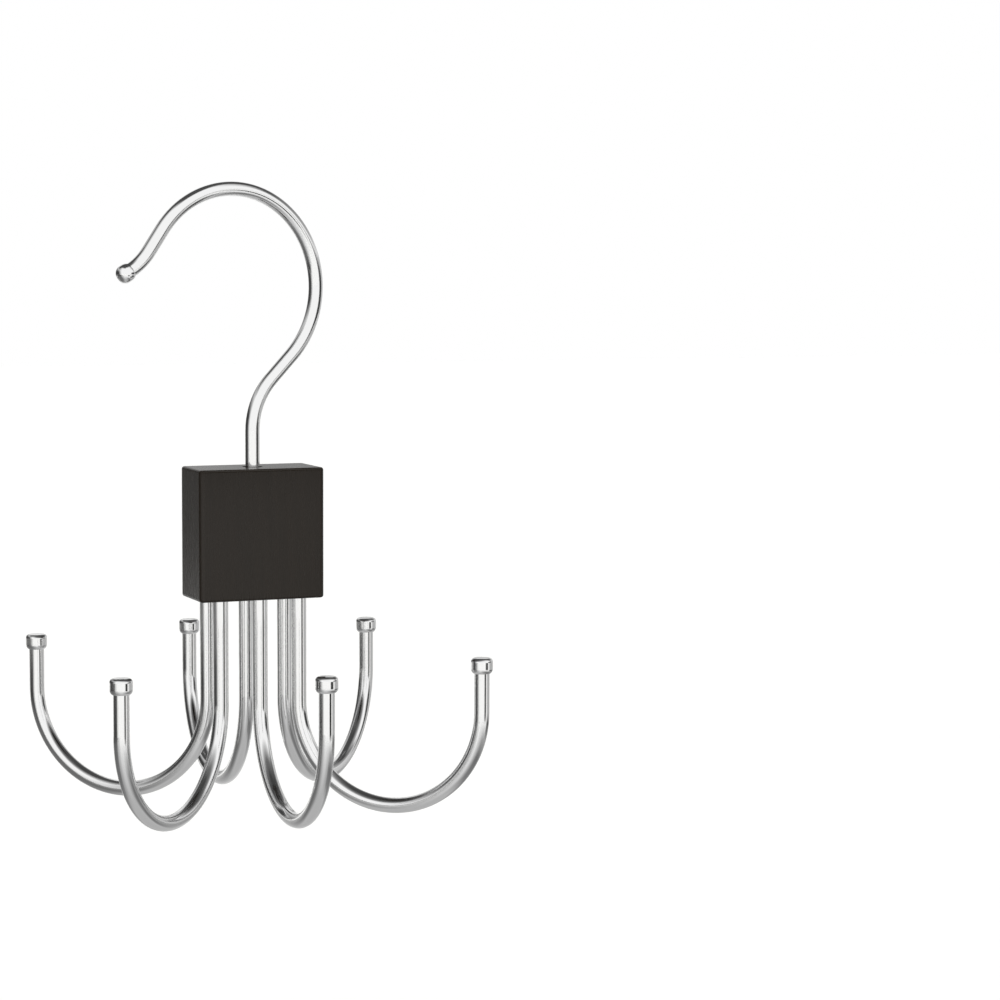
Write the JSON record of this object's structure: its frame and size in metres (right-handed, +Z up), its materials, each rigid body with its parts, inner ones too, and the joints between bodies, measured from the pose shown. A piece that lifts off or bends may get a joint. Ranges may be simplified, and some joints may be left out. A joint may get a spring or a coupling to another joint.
{
  "type": "tie hanger",
  "caption": "Swivelling tie and belt hanger: a chromed wire hook in a square dark wooden block, with splayed wire arms that bend up to rounded caps.",
  "frame": {"origin": "the highest point inside the bow of the hook, where it rests on a rail", "axes": "+Z up along the swivel axis, +X along the wide face of the block towards the side away from the hook's tip, +Y to the back"},
  "size_m": [0.113, 0.1362, 0.1836],
  "materials": {
    "chromed_wire": "bright chrome plate on round steel wire",
    "chromed_cap": "bright chrome plate on a turned cap",
    "lacquered_wood": "brown-black satin lacquer over fine-grained wood",
    "plated_steel": "dull zinc plate"
  },
  "bodies": {
    "hook": {"hook_wire": "chromed_wire", "hook_tip": "chromed_cap"},
    "block_and_arms": {"block": "lacquered_wood", "swivel_bush": "plated_steel", "thrust_washer": "plated_steel", "arm_front_left": "chromed_wire", "cap_front_left": "chromed_cap", "arm_front_middle": "chromed_wire", "cap_front_middle": "chromed_cap", "arm_front_right": "chromed_wire", "cap_front_right": "chromed_cap", "arm_back_left": "chromed_wire", "cap_back_left": "chromed_cap", "arm_back_middle": "chromed_wire", "cap_back_middle": "chromed_cap", "arm_back_right": "chromed_wire", "cap_back_right": "chromed_cap"}
  },
  "joints": [
    {"name": "hook_swivel", "type": "hinge", "parent": "hook", "child": "block_and_arms", "pos_m": [0.0063, 0.0014, -0.07896], "axis": [0, 0, 1], "continuous": true}
  ]
}
